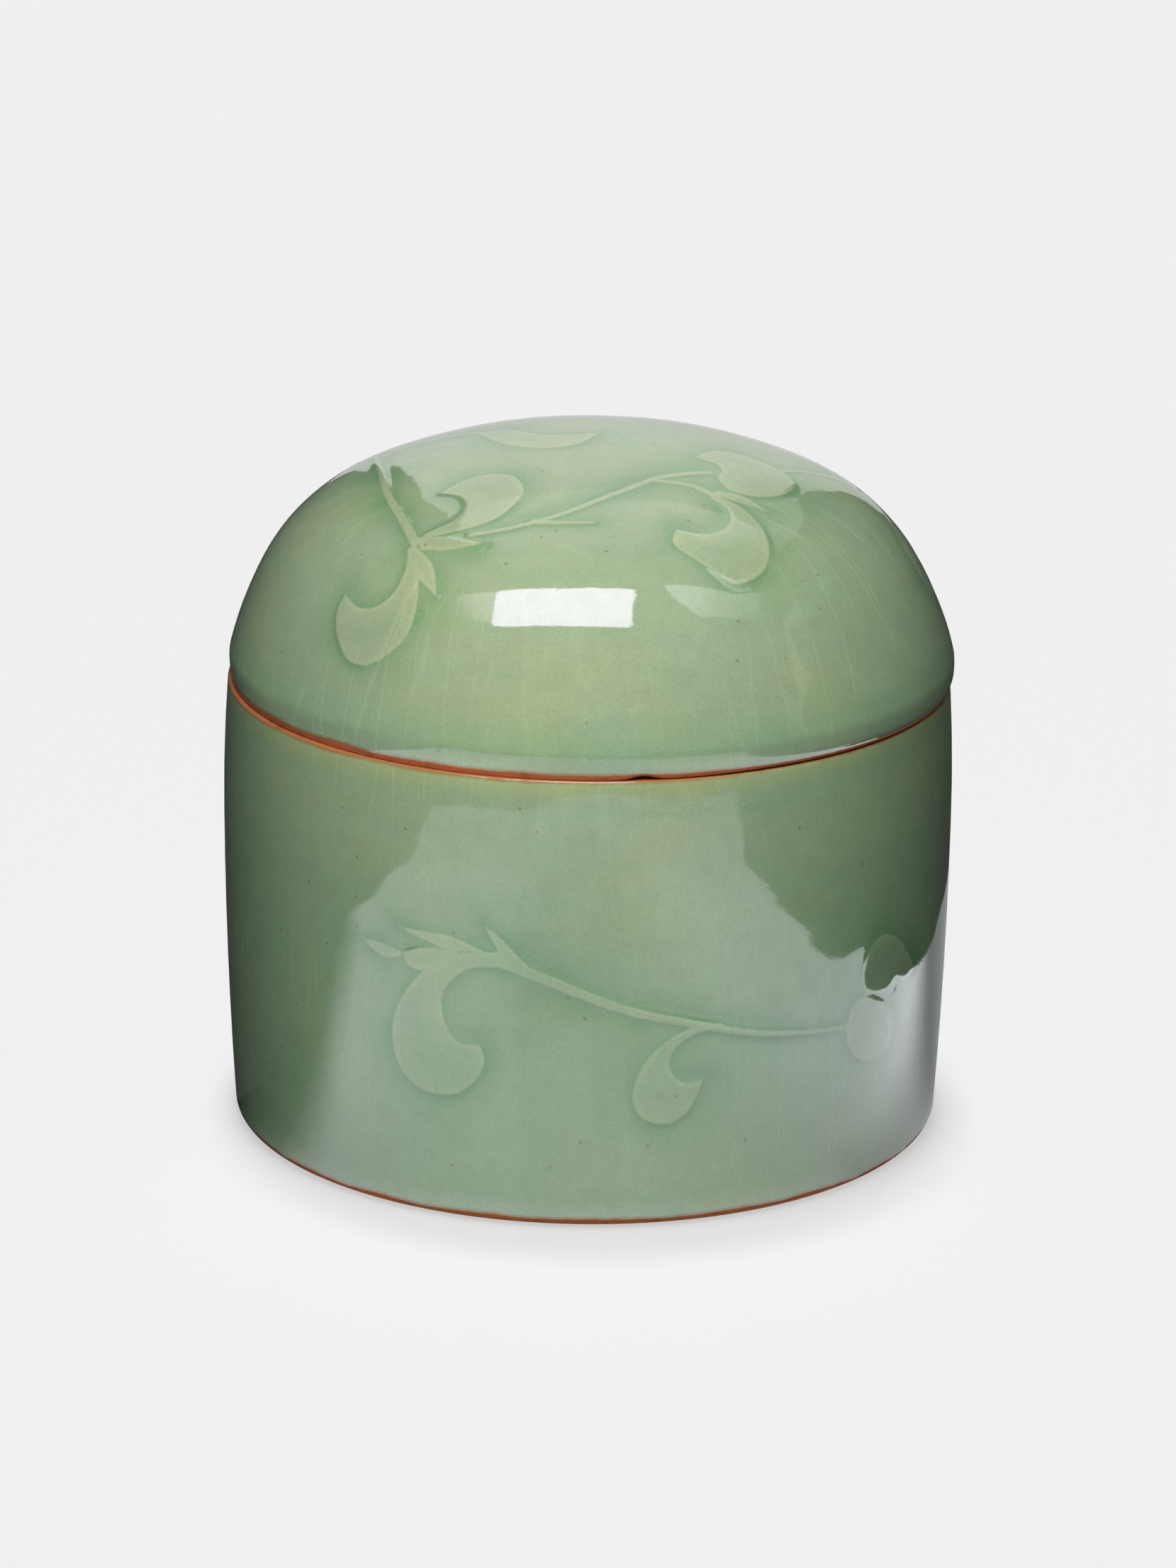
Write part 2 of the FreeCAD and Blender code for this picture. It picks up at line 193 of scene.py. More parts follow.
def lid_section():
    """From the middle of the inside, down the bore, round the collar, over the rim and up to the top."""
    outline = Outline()
    inside_centre = (COLLAR_BORE - LID_INSIDE_ARC, LID_INSIDE_START)
    centre, radius, angle = crown(inside_centre, LID_INSIDE_ARC, LID_INSIDE_TOP)
    outline.add(arc(centre, radius, QUARTER, angle, PLAIN), "inside")
    outline.add(arc(inside_centre, LID_INSIDE_ARC, angle, 0, PLAIN), "inside")

    collar_in = (COLLAR_BORE + COLLAR_ROUNDING, COLLAR_ROUNDING - COLLAR_DEPTH)
    collar_out = (COLLAR_RADIUS - COLLAR_ROUNDING, COLLAR_ROUNDING - COLLAR_DEPTH)
    outline.add(line((COLLAR_BORE, LID_INSIDE_START), (COLLAR_BORE, collar_in[1]), PLAIN), "bore")
    outline.add(arc(collar_in, COLLAR_ROUNDING, 2 * QUARTER, 3 * QUARTER, COLLAR_CELL), "collar")
    outline.add(line((collar_in[0], -COLLAR_DEPTH), (collar_out[0], -COLLAR_DEPTH), SMALL_CELL), "collar")
    outline.add(arc(collar_out, COLLAR_ROUNDING, -QUARTER, 0, COLLAR_CELL), "collar")
    outline.add(line((COLLAR_RADIUS, collar_out[1]), (COLLAR_RADIUS, 0), FLAT_CELL), "collar")

    belly = (LID_BELLY_RADIUS, LID_BELLY_HEIGHT)
    lip_centre, lip_arc, _, _ = level_arc((LID_RIM_RADIUS, 0), belly, LID_BELLY_HEIGHT)
    edge_low = math.asin((LID_RIM_ROUNDING - LID_BELLY_HEIGHT) / (lip_arc - LID_RIM_ROUNDING))
    edge_centre = along(lip_centre, lip_arc - LID_RIM_ROUNDING, edge_low)
    roll_centre = (LID_BELLY_RADIUS - LID_ROLL_ARC, LID_BELLY_HEIGHT)
    roll_high = math.asin((LID_SIDE_START - LID_BELLY_HEIGHT) / LID_ROLL_ARC)
    side_centre = along(roll_centre, LID_ROLL_ARC - LID_SIDE_ARC, roll_high)
    side_high = math.asin((LID_SHOULDER_START - side_centre[1]) / LID_SIDE_ARC)
    shoulder_centre = along(side_centre, LID_SIDE_ARC - LID_SHOULDER_ARC, side_high)
    top_centre, top_arc, shoulder_high = crown(shoulder_centre, LID_SHOULDER_ARC, LID_TOP)
    outline.add(line((COLLAR_RADIUS, 0), (edge_centre[0], 0), SMALL_CELL), "lid_rim")
    outline.add(arc(edge_centre, LID_RIM_ROUNDING, -QUARTER, edge_low, ROUNDING_CELL), "lid_rim")
    outline.add(arc(lip_centre, lip_arc, edge_low, 0, FINEST * 0.75), "dome")
    outline.add(arc(roll_centre, LID_ROLL_ARC, 0, roll_high, FINEST * 0.75), "dome")
    outline.add(arc(side_centre, LID_SIDE_ARC, roll_high, side_high, FINEST), "dome")
    outline.add(arc(shoulder_centre, LID_SHOULDER_ARC, side_high, shoulder_high, FINEST), "dome")
    outline.add(arc(top_centre, top_arc, shoulder_high, QUARTER, FINEST), "dome")
    points, zones = outline.finish((0, LID_TOP), "dome")
    points[:, 1] += BOWL_HEIGHT
    return points, zones


# --- Carved sprigs --------------------------------------------------------------------------------------
# Each leaf is a closed outline made of smooth runs that meet at its sharp corners, and each stem is a smooth
# line with a width at each end. On the bowl, x runs along the wall to the right, from the middle of the
# front, and y is the height. On the lid, (0, 0) is the top, distances from it run along the surface, and -y
# is the front.

BOWL_LEAVES = (
    # the large comma leaf at the stem's left end
    (((-12.5, 42.6), (-17.2, 42.0), (-21.4, 40.4), (-25.2, 37.4), (-28.3, 33.0), (-29.7, 28.0),
      (-28.6, 22.8), (-25.2, 19.9), (-20.6, 19.6), (-17.0, 21.6), (-15.0, 25.2), (-15.7, 27.9)),
     ((-15.7, 27.9), (-18.9, 27.9), (-21.0, 30.6), (-21.6, 34.2), (-20.2, 37.3), (-17.0, 39.8),
      (-12.5, 40.4))),
    # the spike that points up beside it
    (((-15.2, 46.8), (-11.6, 43.9), (-8.4, 40.6)),
     ((-8.4, 40.6), (-12.3, 41.4)),
     ((-12.3, 41.4), (-13.2, 43.6), (-15.2, 46.8))),
    # the long leaf over the comma leaf, and the blunt one under it
    (((-28.4, 44.5), (-24.2, 44.3), (-20.2, 44.2), (-15.0, 42.6)),
     ((-15.0, 42.6), (-20.4, 42.3), (-24.4, 43.3), (-28.4, 44.5))),
    (((-19.0, 42.2), (-23.8, 41.9), (-27.6, 40.7)),
     ((-27.6, 40.7), (-27.0, 39.0), (-24.8, 38.4), (-22.4, 40.0), (-19.0, 41.2)),
     ((-19.0, 41.2), (-19.0, 42.2))),
    (((-35.0, 41.4), (-31.0, 41.2), (-27.2, 40.4)),
     ((-27.2, 40.4), (-31.0, 39.4), (-35.0, 41.4))),
    # the small comma leaf under the stem
    (((20.5, 31.2), (16.0, 30.8), (12.4, 29.4), (9.5, 26.8), (7.5, 23.2), (7.2, 19.8), (8.8, 17.2),
      (12.0, 16.2), (14.9, 17.5), (16.8, 20.4), (17.6, 22.6)),
     ((17.6, 22.6), (14.9, 22.3), (12.9, 23.9), (12.4, 26.4), (13.9, 28.7), (17.0, 30.2), (20.5, 30.6))),
    # the bud at the stem's right end: a round petal and a longer one over it
    (((43.0, 26.4), (44.4, 29.4), (47.6, 30.1), (51.2, 28.2), (53.6, 24.4), (53.2, 20.8), (50.0, 19.3),
      (46.0, 20.6), (43.6, 23.4), (43.0, 26.4)),),
    (((46.8, 30.6), (46.2, 34.2), (47.8, 37.4), (51.0, 38.7), (55.6, 36.6), (61.0, 30.6)),
     ((61.0, 30.6), (57.4, 29.8), (54.8, 31.0), (52.4, 29.6), (46.8, 30.6))),
)
BOWL_STEMS = (
    (((-14.0, 41.6), (-9.7, 40.3), (-4.0, 38.2), (5.6, 34.4), (17.0, 31.3), (27.8, 28.5), (43.6, 26.2)),
     1.6, 0.4),
)
BOWL_SPRIGS = 2
SPRIG_SPAN = 75

LID_LEAVES = (
    # left: comma leaf, two spikes and the round leaf that curls back
    (((-26.6, -31.0), (-26.7, -37.0), (-27.4, -42.6), (-29.8, -46.6), (-33.8, -47.9), (-38.2, -47.4),
      (-41.4, -44.6), (-42.4, -40.2), (-41.6, -36.0), (-39.4, -33.8)),
     ((-39.4, -33.8), (-37.6, -37.6), (-34.2, -39.6), (-30.6, -38.6), (-28.5, -35.4), (-27.8, -31.0))),
    (((-26.4, -29.6), (-21.4, -31.6), (-16.6, -34.6)),
     ((-16.6, -34.6), (-21.6, -34.4), (-26.4, -32.4))),
    (((-27.2, -31.0), (-24.3, -36.6), (-24.1, -42.6)),
     ((-24.1, -42.6), (-26.6, -38.0), (-28.2, -33.0))),
    (((-25.6, -30.2), (-20.5, -30.4), (-15.4, -29.4), (-12.2, -26.4), (-10.4, -22.0), (-11.8, -17.2),
      (-15.6, -15.2), (-19.8, -16.0), (-22.8, -18.4)),
     ((-22.8, -18.4), (-20.0, -20.6), (-18.9, -24.0), (-20.6, -27.4), (-25.6, -29.4))),
    # right: comma leaf, a spike and the round leaf above it
    (((17.4, -20.4), (21.4, -21.6), (24.6, -25.0), (26.4, -29.4), (26.6, -33.8), (25.2, -37.6),
      (22.0, -40.4), (18.6, -39.4), (14.8, -37.4), (12.2, -35.2), (12.4, -31.6)),
     ((12.4, -31.6), (16.0, -31.8), (19.0, -30.2), (20.6, -27.0), (20.2, -23.4), (17.4, -21.2))),
    (((18.2, -18.6), (22.6, -18.6), (26.6, -21.2)),
     ((26.6, -21.2), (22.0, -20.6), (18.0, -20.0))),
    (((18.6, -13.6), (20.6, -17.4), (25.0, -17.0), (28.6, -13.8), (30.4, -9.4), (29.8, -5.4),
      (26.0, -2.4), (21.6, -1.2), (17.8, -3.0), (15.2, -7.4)),
     ((15.2, -7.4), (18.4, -8.4), (19.4, -11.0), (18.6, -13.6))),
    # back: crescent leaf over the top, and two leaves on the far side
    (((-17.8, 7.0), (-14.2, -1.4), (-8.0, -6.6), (-2.6, -5.6), (0.8, 0.4)),
     ((0.8, 0.4), (-4.4, -0.6), (-9.2, 1.4), (-13.0, 6.0), (-17.8, 7.0))),
    (((-9.0, 22.0), (-13.0, 26.6), (-15.4, 32.6), (-14.2, 38.6), (-9.4, 42.2), (-3.8, 41.4), (-0.6, 37.4),
      (-1.6, 32.6)),
     ((-1.6, 32.6), (-5.2, 34.8), (-8.8, 33.4), (-9.6, 29.0), (-7.4, 22.6))),
    (((16.0, 30.0), (21.4, 26.6), (27.6, 25.8), (33.0, 29.0), (35.0, 34.6), (32.4, 39.4), (27.4, 40.6)),
     ((27.4, 40.6), (28.2, 36.4), (25.6, 32.8), (21.4, 31.6), (16.0, 31.6))),
    # sides: leaves that hang towards the rim
    (((42.8, 8.0), (46.6, 2.6), (50.6, -4.0), (55.6, -6.4), (59.8, -3.4), (60.4, 2.0), (57.4, 5.4)),
     ((57.4, 5.4), (54.4, 3.4), (51.0, 4.4), (48.0, 8.0), (42.8, 9.2))),
    (((-40.0, 18.0), (-46.6, 16.2), (-52.8, 18.4), (-56.0, 24.0), (-53.6, 29.6), (-48.4, 31.4)),
     ((-48.4, 31.4), (-48.8, 26.8), (-46.6, 22.6), (-40.0, 19.8))),
)
LID_STEMS = (
    (((-34.0, 12.0), (-32.8, 0.0), (-31.0, -14.0), (-28.6, -23.6), (-26.8, -30.6)), 0.5, 1.3),
    (((-18.4, -32.2), (-11.3, -31.6), (-4.0, -28.8), (4.6, -22.2), (10.0, -17.0), (17.4, -12.4)), 0.6, 0.9),
    (((9.4, -18.4), (14.6, -18.4), (18.6, -20.6)), 0.6, 1.2),
    (((-8.6, -30.8), (-4.6, -31.4), (0.2, -31.4)), 1.0, 0.2),
    (((28.4, -4.0), (32.4, 0.6), (37.6, 5.4), (43.4, 8.6)), 0.5, 1.0),
    (((-17.4, 7.0), (-22.6, 9.4), (-28.6, 9.8), (-33.6, 8.0)), 0.8, 0.5),
    (((-28.6, 9.8), (-33.6, 14.4), (-40.4, 18.8)), 0.5, 1.0),
    (((-22.6, 9.4), (-16.6, 14.8), (-8.2, 22.4)), 0.5, 1.2),
    (((-8.2, 22.4), (-1.0, 25.8), (7.6, 28.6), (16.4, 30.8)), 1.1, 1.0),
    (((37.6, 5.4), (37.0, 14.0), (31.6, 21.6), (24.0, 27.0)), 0.5, 0.9),
)

# The carving: its depth, where its slope starts and ends beside the motif, and how far it takes to fade out.
CARVED_DEPTH = 0.17
CARVED_START = -0.5
CARVED_STEP = 1.1
CARVED_FADE = 2.4
CARVED_REACH = 11.0

# Where the glaze ends: how much clay shows at each edge, and the chip in the lid's lip.
RIM_BARE = 0.12
RIM_BARE_SWING = 0.22
FOOT_BARE = 1.2
RECESS_GLAZED = 44.0
LID_BARE = 0.7
LID_BARE_SWING = 0.3
CHIP_PLACE = 7.6
CHIP_WIDTH = 2.3
CHIP_DEPTH = 0.6
LIP_WARP = 0.3
THROWING_DEPTH = 0.006

# How hard the fire caught the bare clay, from 0 to 1.
FIRED_COLLAR = 0.3
FIRED_RIM = 0.45
FIRED_FOOT = 0.6
FIRED_LID = 1.0


def smooth_run(points, step=0.5):
    """A Catmull-Rom curve through the points of one run."""
    points = np.array(points, float)
    if len(points) == 2:
        return points
    padded = np.vstack([2 * points[0] - points[1], points, 2 * points[-1] - points[-2]])
    pieces = []
    for before, start, end, after in zip(padded, padded[1:], padded[2:], padded[3:]):
        count = max(2, round(math.dist(start, end) / step))
        t = (np.arange(count) / count)[:, None]
        slope = end - before
        bend = 2 * before - 5 * start + 4 * end - after
        twist = 3 * start - before - 3 * end + after
        pieces.append(0.5 * (2 * start + slope * t + bend * t ** 2 + twist * t ** 3))
    return np.vstack(pieces + [points[-1:]])


def to_segments(points, curve):
    """For each point, its distance to a polyline and how far along it the nearest place is, from 0 to 1."""
    best = np.full(len(points), np.inf)
    place = np.zeros(len(points))
    lengths = np.hypot(*np.diff(curve, axis=0).T)
    total = lengths.sum()
    start = 0.0
    for a, b, length in zip(curve, curve[1:], lengths):
        if length == 0:
            continue
        t = np.clip(((points - a) @ (b - a)) / length ** 2, 0, 1)
        offset = points - a - t[:, None] * (b - a)
        distance = np.hypot(offset[:, 0], offset[:, 1])
        nearer = distance < best
        best = np.where(nearer, distance, best)
        place = np.where(nearer, (start + t * length) / total, place)
        start += length
    return best, place


def inside(points, outline):
    """Whether each point is inside a closed outline, by counting crossings."""
    x, y = points.T
    crossed = np.zeros(len(points), bool)
    for (ax, ay), (bx, by) in zip(outline, np.roll(outline, -1, axis=0)):
        if ay == by:
            continue
        spans = (y < ay) != (y < by)
        crossed ^= spans & (x < ax + (y - ay) * (bx - ax) / (by - ay))
    return crossed


def near(points, curve):
    """The points within reach of a curve's box."""
    low = curve.min(0) - CARVED_REACH
    high = curve.max(0) + CARVED_REACH
    return np.flatnonzero(((points > low) & (points < high)).all(1))


def motif_distance(points, leaves, stems):
    """Signed distance to the motif: negative inside a leaf or a stem."""
    found = np.full(len(points), CARVED_REACH)
    for runs in leaves:
        outline = np.vstack([smooth_run(run)[:-1] for run in runs])
        chosen = near(points, outline)
        distance, _ = to_segments(points[chosen], np.vstack([outline, outline[:1]]))
        signed = np.where(inside(points[chosen], outline), -distance, distance)
        found[chosen] = np.minimum(found[chosen], signed)
    for route, first, last in stems:
        curve = smooth_run(route)
        chosen = near(points, curve)
        distance, place = to_segments(points[chosen], curve)
        half = (first + (last - first) * place) / 2
        found[chosen] = np.minimum(found[chosen], distance - half)
    return found


def ripple(angle, height, seed, waves, longest):
    """A smooth wander from about -1 to 1 over a turned surface, the same every run and with no seam."""
    draw = np.random.default_rng(seed)
    total = np.zeros_like(angle)
    for _ in range(waves):
        turns = draw.integers(1, 9)
        climb = draw.uniform(-1, 1) * TURN / longest
        start = draw.uniform(0, TURN)
        total += np.cos(turns * angle + climb * height + start)
    return total / math.sqrt(waves)


def smooth_step(low, high, value):
    t = np.clip((value - low) / (high - low), 0, 1)
    return t * t * (3 - 2 * t)


def carving(signed, angle, height):
    """How deep the ground is cut beside the motif: steep at the motif's edge, and fading out from it."""
    slope = smooth_step(CARVED_START, CARVED_STEP, signed)
    fade = np.exp(-np.maximum(signed - CARVED_STEP, 0) / CARVED_FADE)
    strength = 0.85 + 0.3 * ripple(angle, height, seed=11, waves=6, longest=30)
    return CARVED_DEPTH * slope * fade * np.clip(strength, 0.4, 1.2)


# --- Turned meshes --------------------------------------------------------------------------------------


def ring_columns(points):
    """How many columns each ring has: about as wide as the rows are tall, and halving towards the axis."""
    most = FEWEST_COLUMNS * 2 ** round(math.log2(TURN * BELLY_RADIUS / FINEST / FEWEST_COLUMNS))
    wanted = np.maximum(TURN * points[:, 0] / FINEST, FEWEST_COLUMNS)
    doublings = [math.ceil(math.log2(number / FEWEST_COLUMNS) - 0.3) for number in wanted]
    return [min(most, FEWEST_COLUMNS * 2 ** doubling) for doubling in doublings]


def build_rings(points, counts):
    """Each vertex's row and angle, and the faces between the rings."""
    rows, angles, starts = [], [], []
    start = 0
    for row, count in enumerate(counts):
        on_axis = points[row, 0] == 0
        number = 1 if on_axis else count
        starts.append(start)
        rows.append(np.full(number, row))
        angles.append(np.zeros(1) if on_axis else np.arange(number) * TURN / number)
        start += number
    faces = []
    for row in range(len(counts) - 1):
        faces += bridge(starts[row], len(angles[row]), starts[row + 1], len(angles[row + 1]))
    return np.concatenate(rows), np.concatenate(angles), faces


def bridge(low, low_count, high, high_count):
    """Faces between two rings: with equal columns, with twice as many on one, or with a point for one."""
    if low_count == high_count:
        j = np.arange(low_count)
        k = (j + 1) % low_count
        faces = [(low + j, low + k, high + k, high + j)]
    elif low_count == 1:
        j = np.arange(high_count)
        faces = [(np.full(high_count, low), high + (j + 1) % high_count, high + j)]
    elif high_count == 1:
        j = np.arange(low_count)
        faces = [(low + j, low + (j + 1) % low_count, np.full(low_count, high))]
    elif low_count == 2 * high_count:
        j = np.arange(high_count)
        k = (j + 1) % high_count
        a, b, c = low + 2 * j, low + 2 * j + 1, low + 2 * k
        faces = [(a, b, high + j), (b, high + k, high + j), (b, c, high + k)]
    else:
        j = np.arange(low_count)
        k = (j + 1) % low_count
        a, b, c = high + 2 * j, high + 2 * j + 1, high + 2 * k
        faces = [(low + j, b, a), (low + j, low + k, b), (low + k, c, b)]
    return np.concatenate([np.stack(corners, 1) for corners in faces]).tolist()


def limit_steps(counts):
    """Keeps neighbouring rings within a factor of two."""
    for order in (range(1, len(counts)), range(len(counts) - 2, -1, -1)):
        for i in order:
            other = counts[i - 1] if order.step == 1 else counts[i + 1]
            counts[i] = min(counts[i], other * 2)
    return counts


def section_normals(points):
    """Unit normals of a section in its own plane, pointing out of the clay."""
    ahead = np.vstack([points[1:], points[-1:]])
    behind = np.vstack([points[:1], points[:-1]])
    tangent = ahead - behind
    tangent /= np.linalg.norm(tangent, axis=1)[:, None]
    return np.stack([tangent[:, 1], -tangent[:, 0]], 1)


def make_piece(name, section, shape):
    """One turned piece: shape gives each vertex's offset along the normal, its rise and its attributes."""
    points, zones = section
    rows, angles, faces = build_rings(points, limit_steps(ring_columns(points)))
    lengths = np.concatenate([[0], np.cumsum(np.hypot(*np.diff(points, axis=0).T))])
    from_front = np.arctan2(np.cos(angles), -np.sin(angles))
    place = {
        "radius": points[rows, 0], "height": points[rows, 1], "angle": from_front, "zone": zones[rows],
        "length": lengths[rows], "total": lengths[-1],
    }
    offset, rise, sideways, attributes = shape(place)
    normals = section_normals(points)[rows]
    radius = place["radius"] + normals[:, 0] * offset
    height = place["height"] + normals[:, 1] * offset + rise
    x = radius * np.cos(angles) + sideways
    y = radius * np.sin(angles)
    mesh = bpy.data.meshes.new(name)
    mesh.from_pydata(np.stack([x, y, height], 1) * MM, [], faces)
    mesh.update()
    mesh.shade_smooth()
    unrolled = [BELLY_RADIUS * np.cos(angles), BELLY_RADIUS * np.sin(angles), place["length"]]
    attributes["flow"] = np.stack(unrolled, 1)
    for key, values in attributes.items():
        kind, field = ("FLOAT_VECTOR", "vector") if values.ndim == 2 else ("FLOAT", "value")
        attribute = mesh.attributes.new(key, kind, "POINT")
        attribute.data.foreach_set(field, values.astype(np.float32).ravel())
    piece = bpy.data.objects.new(name, mesh)
    bpy.context.scene.collection.objects.link(piece)
    return piece


def wrap(angle):
    return (angle + math.pi) % TURN - math.pi


def uneven_line(angle, seed, size):
    """How far a hand-wiped glaze line strays, round the piece."""
    no_height = np.zeros_like(angle)
    slow = ripple(angle * 3, no_height, seed, waves=6, longest=50)
    quick = ripple(angle * 12, no_height, seed + 1, waves=6, longest=50)
    return size * (0.7 * slow + 0.3 * quick)


def bump_at(value, centre, width):
    return np.exp(-((value - centre) / width) ** 2)


def painted_side_shade(angle):
    """Painted shade: the glaze is tinted greener on the right and on the far left, where the light falls off
    at the sides.
    """
    right = 0.4 * smooth_step(0.25, 0.85, np.sin(angle))
    return right + 0.3 * smooth_step(0.7, 0.95, -np.sin(angle))


def throwing_marks(angle, height, pitch, sway, lean):
    """Faint rings that the potter's fingers leave round a wall, a little out of level."""
    return THROWING_DEPTH * np.sin(height * TURN / pitch + sway * np.sin(angle + lean))


def bowl_motif(angle, height, wall):
    """Each place's distance to the sprigs that repeat round the bowl's wall."""
    signed = np.full(len(angle), CARVED_REACH)
    for number in range(BOWL_SPRIGS):
        along_wall = wrap(angle - number * TURN / BOWL_SPRIGS) * BELLY_RADIUS
        chosen = np.flatnonzero(wall & (np.abs(along_wall) < SPRIG_SPAN))
        spots = np.stack([along_wall[chosen], height[chosen]], 1)
        signed[chosen] = np.minimum(signed[chosen], motif_distance(spots, BOWL_LEAVES, BOWL_STEMS))
    return signed


def bowl_shape(place):
    """The bowl's carving, its hand-thrown wall, and how far each place is from where the glaze ends."""
    angle, height, zone, radius = place["angle"], place["height"], place["zone"], place["radius"]
    wall = zone == "wall"
    signed = bowl_motif(angle, height, wall)
    away = smooth_step(0, 6, height) * smooth_step(0, 5, BOWL_HEIGHT - height)
    rings = throwing_marks(angle, height, pitch=7.5, sway=0.8, lean=1)
    uneven = rings + 0.06 * ripple(angle, height, seed=3, waves=4, longest=120)

    # The front sprig is shallower at its two ends.
    along_wall = wrap(angle) * BELLY_RADIUS
    worn = smooth_step(-32, -26, along_wall) * (1 - 0.7 * smooth_step(34, 46, along_wall))
    carved = carving(signed, angle, height) * np.where(np.abs(along_wall) < SPRIG_SPAN, worn, 1)
    offset = np.where(wall, uneven * away - carved, 0)

    bare = RIM_BARE - RIM_BARE_SWING * np.sin(angle)
    below_rim = BOWL_HEIGHT - height - bare + uneven_line(angle, seed=5, size=0.08)
    above_foot = height - FOOT_BARE + uneven_line(angle, seed=7, size=0.14)
    glazed = np.select(
        [wall, zone == "foot", zone == "under"],
        [np.minimum(below_rim, above_foot), above_foot, RECESS_GLAZED - radius],
        below_rim,
    )
    glazed = np.where((zone == "foot") & (radius < RECESS_RADIUS + 2 * RECESS_ROUNDING), -1, glazed)
    # Greener towards the foot, and greener at the sides as painted shade where the light falls off.
    low = 1 - 0.6 * smooth_step(18, 62, height) + painted_side_shade(angle)
    fired = np.where(height > BELLY_HEIGHT, FIRED_RIM, FIRED_FOOT)
    attributes = {"motif": signed, "glazed": glazed, "low": low, "fired": fired}
    return offset, np.zeros(len(angle)), 0.0, attributes


def lip_rise(angle, height):
    """How far the lid's lip is lifted: a slight warp on the right, and the chip."""
    along_rim = angle * LID_BELLY_RADIUS
    gap = LIP_WARP * smooth_step(0, 30, along_rim) * (1 - smooth_step(75, 110, along_rim))
    gap = gap + CHIP_DEPTH * bump_at(along_rim, CHIP_PLACE, CHIP_WIDTH)
    return gap * (1 - smooth_step(0, 1.4, height))


def lid_shape(place):
    """The lid's carving, its hand-thrown dome, its lip, and how far each place is from bare clay."""
    angle, zone = place["angle"], place["zone"]
    height = place["height"] - BOWL_HEIGHT
    dome = zone == "dome"
    outside = dome | (zone == "lid_rim")
    from_top = place["total"] - place["length"]
    spots = np.stack([from_top * np.sin(angle), -from_top * np.cos(angle)], 1)
    signed = np.full(len(angle), CARVED_REACH)
    signed[dome] = motif_distance(spots[dome], LID_LEAVES, LID_STEMS)
    away = smooth_step(0, 5, height) * smooth_step(4, 22, from_top)
    rings = throwing_marks(angle, height, pitch=6.5, sway=0.9, lean=0)
    uneven = rings + 0.07 * ripple(angle, height, seed=8, waves=4, longest=120)

    # The dome is a little fuller low on its right. Its carving is shallower at the rim and towards the back.
    fuller = 0.25 * smooth_step(-0.2, 1.0, np.sin(angle))
    fuller = fuller * smooth_step(0, 2, height) * (1 - smooth_step(6, 20, height))
    shallow = smooth_step(1, 5, height) * (0.3 + 0.7 * smooth_step(10, 36, -spots[:, 1]))
    carved = carving(signed, angle, height) * shallow
    offset = np.where(dome, uneven * away + fuller - carved, 0)
    rise = np.where(outside, lip_rise(angle, height), 0)

    bare = LID_BARE + LID_BARE_SWING * np.cos(angle + 1.0)
    above_rim = height - bare + uneven_line(angle, seed=15, size=0.1)
    well_glazed = np.full(len(angle), 5.0)
    glazed = np.select([dome, zone == "inside", zone == "bore"], [above_rim, well_glazed, height], -1)
    # Greener low on the dome, and greener at the sides as painted shade where the light falls off.
    low = 1 - smooth_step(3, 11, height) + painted_side_shade(angle)
    fired = np.where(outside, FIRED_LID, FIRED_COLLAR)
    attributes = {"motif": signed, "glazed": glazed, "low": low, "fired": fired}
    return offset, rise, LID_SHIFT, attributes


# --- Materials ------------------------------------------------------------------------------------------

GLAZE = (0.364, 0.455, 0.283, 1)
TINT_WARM = (1.10, 1.03, 0.95, 1)
# Greener tint for the low parts and bands, and for the painted shade at the sides.
TINT_LOW_AND_SIDE_SHADE = (0.80, 0.98, 0.94, 1)
TINT_POOLED = (0.47, 0.73, 0.60, 1)
TINT_LEAF_EDGE = (1.11, 1.08, 1.05, 1)
TINT_THIN = (1.2, 1.1, 0.92, 1)
# Pale thin glaze by the foot and the lid's rim; by the foot it is also painted light bounced up from the
# floor.
TINT_THIN_PALE_AND_BOUNCE = (1.25, 1.12, 1.25, 1)
TINT_CRAZE = (1.17, 1.14, 1.17, 1)
BURNT = (0.36, 0.13, 0.03, 1)
CLAY = (0.60, 0.30, 0.13, 1)
CLAY_RIM = (0.50, 0.15, 0.034, 1)
CLAY_FIRED = (0.48, 0.115, 0.028, 1)
CLAY_DARK = (0.16, 0.042, 0.015, 1)
IRON = (0.20, 0.14, 0.04, 1)

# Fine grain in the glaze: cells a metre, detail and contrast.
GRAIN = ((300, 3, 0.10), (2600, 2, 0.16))
# Iron specks: cells a metre, radius as part of a cell, the share of cells without one, and strength.
SPECKS = ((150.0, 0.055, 0.86, 0.5), (420.0, 0.15, 0.89, 0.5))


